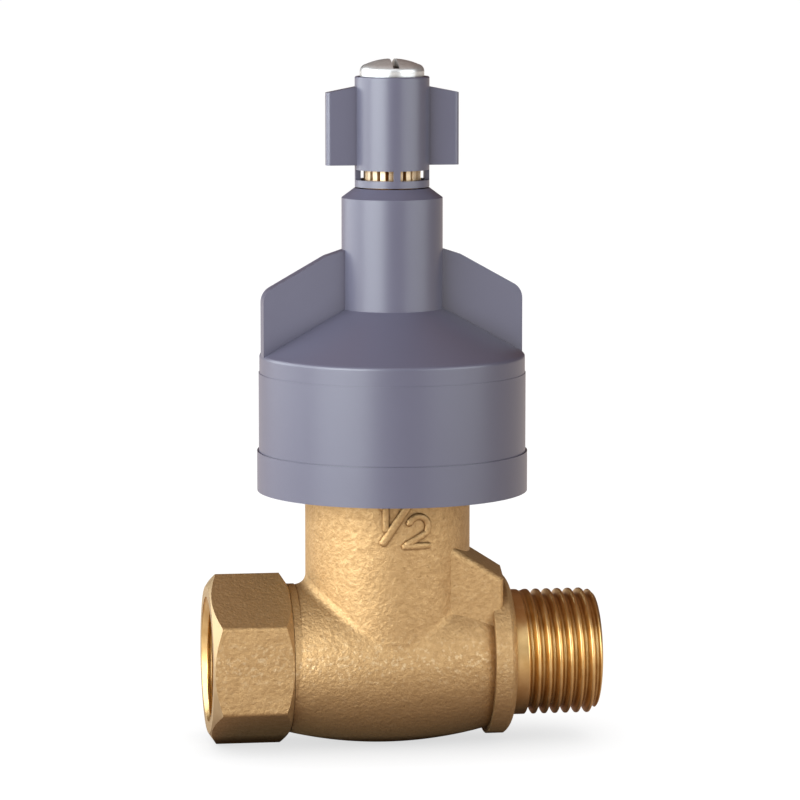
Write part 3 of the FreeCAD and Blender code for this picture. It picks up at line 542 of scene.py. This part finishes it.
def make_grain_group():
    """Fine relief: a fine noise and one about a fifth of its scale, added and turned into a normal."""
    group, given, result = new_group(
        "grain",
        {"Vector": "NodeSocketVector", "Scale": "NodeSocketFloat", "Depth": "NodeSocketFloat"},
        {"Normal": "NodeSocketVector"},
    )
    fine = add(group, "ShaderNodeTexNoise", Vector=given["Vector"], Scale=given["Scale"], Detail=4.0)
    broad_scale = math_node(group, "MULTIPLY", given["Scale"], 0.22)
    broad = add(group, "ShaderNodeTexNoise", Vector=given["Vector"], Scale=broad_scale, Detail=3.0)
    height = math_node(group, "ADD", fine.outputs["Fac"], broad.outputs["Fac"])
    bump = add(group, "ShaderNodeBump", Strength=1.0, Distance=given["Depth"], Height=height)
    set_socket(group, result["Normal"], bump.outputs["Normal"])
    return group


def make_painted_shade_group():
    """Painted shade mask: ambient occlusion that is 1 in the open and falls to 0 in corners closer than a
    reach.
    """
    group, given, result = new_group("painted_shade", {"Reach": "NodeSocketFloat"}, {"Open": "NodeSocketFloat"})
    shade = add(group, "ShaderNodeAmbientOcclusion", Distance=given["Reach"])
    set_socket(group, result["Open"], ranged(group, shade.outputs["AO"], 0.2, 0.8))
    return group


MOTTLE = make_mottle_group()
GRAIN = make_grain_group()
PAINTED_SHADE = make_painted_shade_group()


# Finishes
def pressed_brass():
    """Hot-pressed brass: dull gold with a fine grain and dark pits, and painted brown shade in its corners.

    Pale flecks are densest near the parting line, where flash was trimmed."""
    material, tree, shader = new_material("pressed_brass")
    place = object_place(tree)
    height = add(tree, "ShaderNodeSeparateXYZ", Vector=place).outputs["Z"]
    patches = place_group(tree, MOTTLE, Vector=place, Scale=900.0, Low=0.3, High=0.7)
    specks = place_group(tree, MOTTLE, Vector=place, Scale=1300.0, Low=0.53, High=0.66)
    from_parting = math_node(tree, "ABSOLUTE", math_node(tree, "SUBTRACT", height, PARTING_HEIGHT))
    band = ranged(tree, from_parting, FLECKS_DENSE, FLECKS_THIN, 0.6, 0.12)
    flecks = math_node(tree, "MULTIPLY", specks, band)
    pits = place_group(tree, MOTTLE, Vector=place, Scale=1700.0, Low=0.6, High=0.72)
    # Painted shade: ambient occlusion turns the brass dark brown in its corners.
    in_open = place_group(tree, PAINTED_SHADE, Reach=2.5 * MM)
    tone = mix_colour(tree, patches, *PRESSED_BRASS)
    tone = mix_colour(tree, flecks, tone, BRASS_FLECK)
    tone = mix_colour(tree, math_node(tree, "MULTIPLY", pits, PIT_SHARE), tone, BRASS_PIT)
    tone = mix_colour(tree, in_open, BRASS_PAINTED_SHADE, tone)
    dull = ranged(tree, patches, 0.0, 1.0, 0.64, 0.56)
    relief = place_group(tree, GRAIN, Vector=place, Scale=1800.0, Depth=0.14 * MM)
    set_inputs(tree, shader, Base_Color=tone, Metallic=1.0, Roughness=dull, Normal=relief)
    return material


def turned_brass(name, tones, reach, roughness):
    """Turned brass: gold that drifts between two tones with a slight bloom, and painted brown shade in its
    grooves and corners.
    """
    material, tree, shader = new_material(name)
    place = object_place(tree)
    bloom = place_group(tree, MOTTLE, Vector=place, Scale=500.0, Low=0.35, High=0.7)
    # Painted shade: ambient occlusion within the reach turns the brass brown in grooves and corners.
    in_open = place_group(tree, PAINTED_SHADE, Reach=reach)
    tone = mix_colour(tree, in_open, GROOVE_PAINTED_SHADE, mix_colour(tree, bloom, *tones))
    dull = ranged(tree, bloom, 0.0, 1.0, roughness, roughness + 0.08)
    set_inputs(tree, shader, Base_Color=tone, Metallic=1.0, Roughness=dull)
    return material


def moulded_plastic():
    """Blue-grey moulded plastic with a satin face, and painted shade that darkens its corners."""
    material, tree, shader = new_material("shield_plastic")
    place = object_place(tree)
    cloud = place_group(tree, MOTTLE, Vector=place, Scale=90.0, Low=0.2, High=0.8)
    # Painted shade: ambient occlusion darkens the plastic in corners and steps.
    in_open = place_group(tree, PAINTED_SHADE, Reach=6.0 * MM)
    tone = mix_colour(tree, in_open, PLASTIC_PAINTED_SHADE, mix_colour(tree, cloud, *SHIELD_PLASTIC))
    relief = place_group(tree, GRAIN, Vector=place, Scale=2500.0, Depth=0.006 * MM)
    set_inputs(tree, shader, Base_Color=tone, Roughness=0.36, Specular_IOR_Level=0.8, Normal=relief)
    return material


def worn_metal(name, tones, metallic, roughness):
    """Plated or spring metal: one colour that drifts a little, and painted dark shade in its slots."""
    material, tree, shader = new_material(name)
    slot_painted_shade, clean = tones
    worn = tuple(dark + (light - dark) * WORN_SHARE for dark, light in zip(slot_painted_shade, clean))
    place = object_place(tree)
    drift = place_group(tree, MOTTLE, Vector=place, Scale=700.0, Low=0.2, High=0.6)
    # Painted shade: ambient occlusion turns the metal to its slot tone in slots and gaps.
    in_open = place_group(tree, PAINTED_SHADE, Reach=1.8 * MM)
    tone = mix_colour(tree, in_open, slot_painted_shade, mix_colour(tree, drift, worn, clean))
    dull = ranged(tree, drift, 0.0, 1.0, roughness + 0.06, roughness)
    set_inputs(tree, shader, Base_Color=tone, Metallic=metallic, Roughness=dull)
    return material


def soft_part(name, tones, scale, roughness):
    """Rubber, fibre or slip plastic: a fleck between two tones and a fine grain."""
    material, tree, shader = new_material(name)
    place = object_place(tree)
    fleck = place_group(tree, MOTTLE, Vector=place, Scale=scale, Low=0.35, High=0.65)
    tone = mix_colour(tree, fleck, *tones)
    dull = ranged(tree, fleck, 0.0, 1.0, roughness, roughness + 0.08)
    relief = place_group(tree, GRAIN, Vector=place, Scale=scale, Depth=0.01 * MM)
    set_inputs(tree, shader, Base_Color=tone, Roughness=dull, Normal=relief)
    return material


# Studio
def floor_material():
    """Pale floor whose white is added for the eye and for mirrors.

    The eye sees a faint shadow where the valve stands close. Mirrors see a deeper and warmer shade
    under the valve: the wide shade to a power, times the white of the open floor."""
    material = bpy.data.materials.new("pale_floor")
    material.use_nodes = True
    tree = material.node_tree
    tree.nodes.clear()
    seen = tree.nodes.new("ShaderNodeLightPath").outputs
    near_shade = add(tree, "ShaderNodeAmbientOcclusion", Distance=NEAR_SHADE).outputs["AO"]
    wide_shade = add(tree, "ShaderNodeAmbientOcclusion", Distance=WIDE_SHADE).outputs["AO"]
    in_mirror = math_node(tree, "ADD", seen["Is Glossy Ray"], seen["Is Transmission Ray"])
    deep_shade = math_node(tree, "POWER", wide_shade, SHADE_POWER)
    mirror_white = ranged(tree, deep_shade, 0.0, 1.0, 0.0, MIRROR_WHITE)
    eye_white = ranged(tree, near_shade, 0.0, 1.0, SHADOW_WHITE, 1.0)
    to_mirror = math_node(tree, "MULTIPLY", in_mirror, mirror_white)
    to_eye = math_node(tree, "MULTIPLY", seen["Is Camera Ray"], eye_white)
    warm = mix_colour(tree, ranged(tree, wide_shade, 0.4, 0.95), FLOOR_UNDER_VALVE, FLOOR_IN_OPEN)
    tint = mix_colour(tree, seen["Is Camera Ray"], warm, WHITE)
    glow = add(tree, "ShaderNodeEmission", Color=tint, Strength=math_node(tree, "ADD", to_eye, to_mirror))
    dull = add(tree, "ShaderNodeBsdfDiffuse", Color=FLOOR_GREY)
    both = tree.nodes.new("ShaderNodeAddShader")
    set_socket(tree, both.inputs[0], glow.outputs[0])
    set_socket(tree, both.inputs[1], dull.outputs[0])
    add(tree, "ShaderNodeOutputMaterial", Surface=both.outputs[0])
    return material


def make_floor():
    """A wide square under the lowest point of the valve."""
    low = cad_box[0][2]
    far = FLOOR_REACH
    mesh = bpy.data.meshes.new("floor")
    corners = [(-far, -far, low), (far, -far, low), (far, far, low), (-far, far, low)]
    mesh.from_pydata(corners, [], [(0, 1, 2, 3)])
    mesh.materials.append(floor_material())
    floor = bpy.data.objects.new("floor", mesh)
    bpy.context.scene.collection.objects.link(floor)


def stand_off(made, turn, rise, distance):
    """Puts a lamp or the camera off the valve, at a turn about Z and a rise, looking back at its middle."""
    level = math.cos(rise)
    away = Vector((-math.sin(turn) * level, -math.cos(turn) * level, math.sin(rise)))
    made.location = AIM + away * distance
    made.rotation_euler = away.to_track_quat("Z", "Y").to_euler()
    bpy.context.scene.collection.objects.link(made)


def soft_box(name, turn, rise, width, height, power):
    """A rectangular lamp that faces the valve."""
    lamp = bpy.data.lights.new(name, "AREA")
    lamp.shape = "RECTANGLE"
    lamp.size = width
    lamp.size_y = height
    lamp.energy = power
    lamp.color = LAMP_COLOUR
    made = bpy.data.objects.new(name, lamp)
    stand_off(made, VIEW_TURN + math.radians(turn), math.radians(rise), LAMP_DISTANCE)


def make_room():
    """A dim warm room that is brighter overhead, and plain white to the eye."""
    world = bpy.data.worlds.new("studio")
    world.use_nodes = True
    tree = world.node_tree
    direction = tree.nodes.new("ShaderNodeTexCoord").outputs["Generated"]
    upward = add(tree, "ShaderNodeSeparateXYZ", Vector=direction).outputs["Z"]
    dim = tree.nodes["Background"]
    set_inputs(tree, dim, Color=ROOM_COLOUR, Strength=ranged(tree, upward, 0.45, 0.95, 0.12, 0.28))
    white = add(tree, "ShaderNodeBackground", Color=WHITE, Strength=1.0)
    to_eye = tree.nodes.new("ShaderNodeLightPath").outputs["Is Camera Ray"]
    either = add(tree, "ShaderNodeMixShader", Fac=to_eye)
    set_socket(tree, either.inputs[1], dim.outputs[0])
    set_socket(tree, either.inputs[2], white.outputs[0])
    set_inputs(tree, tree.nodes["World Output"], Surface=either.outputs[0])
    bpy.context.scene.world = world


def make_camera():
    """A long lens, turned a little towards the inlet and raised a little above the valve's middle."""
    data = bpy.data.cameras.new("photo_camera")
    data.lens = FOCAL_LENGTH
    data.sensor_width = SENSOR_WIDTH
    data.clip_end = CLIP_END
    camera = bpy.data.objects.new("photo_camera", data)
    stand_off(camera, VIEW_TURN, VIEW_RISE, VIEW_DISTANCE)
    bpy.context.scene.camera = camera


forged = pressed_brass()
cut = turned_brass("cut_brass", CUT_BRASS, reach=0.9 * MM, roughness=0.31)
faced = turned_brass("faced_brass", FACED_BRASS, reach=0.9 * MM, roughness=0.5)
pale = turned_brass("spindle_brass", SPINDLE_BRASS, reach=2.2 * MM, roughness=0.42)
headwork = turned_brass("headwork_brass", HEADWORK_BRASS, reach=8.0 * MM, roughness=0.4)
plastic = moulded_plastic()
plated = worn_metal("plated_screw", PLATED_SCREW, metallic=0.7, roughness=0.3)
spring = worn_metal("clip_steel", CLIP_STEEL, metallic=1.0, roughness=0.28)
rubber = soft_part("ring_rubber", RING_RUBBER, scale=1500.0, roughness=0.55)
fibre = soft_part("pressed_fibre", PRESSED_FIBRE, scale=2200.0, roughness=0.7)
slip = soft_part("washer_plastic", WASHER_PLASTIC, scale=900.0, roughness=0.32)

FINISHES = {
    "bonnet": headwork, "spindle": pale, "lift_piston": headwork, "disc_plate": headwork,
    "disc_screw": headwork, "protective_shield": plastic, "wing_knob": plastic, "knob_screw": plated,
    "bonnet_gasket": fibre, "lower_stem_seal": rubber, "upper_stem_seal": rubber, "piston_seal": rubber,
    "disc_washer": rubber, "thrust_washer": slip, "clip_washer": spring, "retaining_clip": spring,
}
for name, material in FINISHES.items():
    nodes[name].material_slots[0].material = material

make_casting([forged, cut, faced])
make_size_mark(forged)
make_floor()
make_room()
for name, lamp in LAMPS.items():
    soft_box(name, *lamp)
make_camera()
bpy.context.scene.view_settings.view_transform = "Standard"
